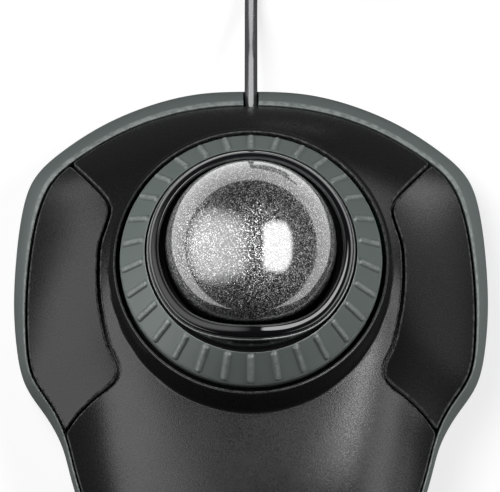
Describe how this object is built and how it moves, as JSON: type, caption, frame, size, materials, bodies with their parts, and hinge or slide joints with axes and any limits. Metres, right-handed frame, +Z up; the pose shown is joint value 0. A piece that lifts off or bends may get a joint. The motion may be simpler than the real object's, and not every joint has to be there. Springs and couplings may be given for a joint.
{
  "type": "trackball mouse",
  "caption": "Wired desktop trackball with a large ball, a turning scroll ring around it, two wide side buttons and a sloping palm cover.",
  "frame": {"origin": "on the desk, below the middle of the body's footprint", "axes": "+Z up, +Y to the back where the cable leaves, +X to the right as the user sees it"},
  "size_m": [0.1392, 0.2197, 0.057],
  "materials": {
    "rim_plastic": "satin moulded, slate grey-green",
    "cover_plastic": "satin black with a fine spark-eroded grain",
    "ring_rubber": "soft-touch, slate grey-green, ribbed",
    "gloss_black": "polished piano black",
    "ball_metallic": "silver-grey metallic flake under a clear gloss coat",
    "ball_core": "dense moulded resin",
    "inner_plastic": "moulded, unpolished",
    "bearing_ceramic": "polished ceramic",
    "switch_plastic": "moulded",
    "plunger_plastic": "moulded, off-white",
    "circuit_board": "glass-epoxy board with green solder mask",
    "chip_black": "moulded epoxy package",
    "lens_clear": "clear moulded polycarbonate",
    "connector_white": "moulded nylon",
    "cable_jacket": "smooth dark grey jacket, slightly glossy",
    "plug_plastic": "moulded, fine grain",
    "plug_metal": "nickel-plated sheet",
    "steel": "zinc-plated",
    "foot_rubber": "matt anti-slip rubber",
    "label_silver": "blank printed foil"
  },
  "bodies": {
    "root": {"base_shell": "rim_plastic", "top_cover": "cover_plastic", "left_hinge_pin": "steel", "right_hinge_pin": "steel", "left_switch": "switch_plastic", "right_switch": "switch_plastic", "ring_sensor": "switch_plastic", "ball_cup": "inner_plastic", "cup_bezel": "gloss_black", "support_balls": "bearing_ceramic", "main_board": "circuit_board", "motion_sensor": "chip_black", "sensor_lens": "lens_clear", "sensor_led": "lens_clear", "microcontroller": "chip_black", "cable_connector": "connector_white", "cable_lead": "cable_jacket", "cable_grommet": "cable_jacket", "case_screws": "steel", "cup_screws": "steel", "board_screws": "steel", "rubber_feet": "foot_rubber", "rating_label": "label_silver", "usb_cable": "cable_jacket", "cable_coil": "cable_jacket", "cable_tail": "cable_jacket", "plug_overmould": "plug_plastic", "plug_shell": "plug_metal", "plug_insert": "connector_white"},
    "scroll_wheel": {"scroll_ring": "ring_rubber", "ring_carrier": "inner_plastic"},
    "ball_inner": {"ball_core": "ball_core"},
    "ball_outer": {"ball_shell": "ball_metallic"},
    "left_key": {"left_button": "cover_plastic"},
    "right_key": {"right_button": "cover_plastic"},
    "left_plunger": {"left_switch_plunger": "plunger_plastic"},
    "right_plunger": {"right_switch_plunger": "plunger_plastic"}
  },
  "joints": [
    {"name": "ring_turn", "type": "hinge", "parent": "root", "child": "scroll_wheel", "pos_m": [0, 0.017, 0.029], "axis": [0, 0, 1], "continuous": true},
    {"name": "ball_roll_x", "type": "hinge", "parent": "root", "child": "ball_inner", "pos_m": [0, 0.017, 0.037], "axis": [1, 0, 0], "continuous": true},
    {"name": "ball_roll_y", "type": "hinge", "parent": "ball_inner", "child": "ball_outer", "pos_m": [0, 0.017, 0.037], "axis": [0, 1, 0], "continuous": true},
    {"name": "left_press", "type": "hinge", "parent": "root", "child": "left_key", "pos_m": [-0.041, -0.011, 0.0112], "axis": [-1, 0, 0], "range_deg": [0, 1], "stiffness_Nm_per_rad": 1.2, "springref_deg": -0.57},
    {"name": "right_press", "type": "hinge", "parent": "root", "child": "right_key", "pos_m": [0.041, -0.011, 0.0112], "axis": [-1, 0, 0], "range_deg": [0, 1], "stiffness_Nm_per_rad": 1.2, "springref_deg": -0.57},
    {"name": "left_click", "type": "slide", "parent": "root", "child": "left_plunger", "axis": [0, 0, -1], "range_m": [0, 0.00045]},
    {"name": "right_click", "type": "slide", "parent": "root", "child": "right_plunger", "axis": [0, 0, -1], "range_m": [0, 0.00045]}
  ],
  "couplings": [
    {"joint": "left_click", "follows": "left_press", "m_per_rad": 0.025},
    {"joint": "right_click", "follows": "right_press", "m_per_rad": 0.025}
  ]
}
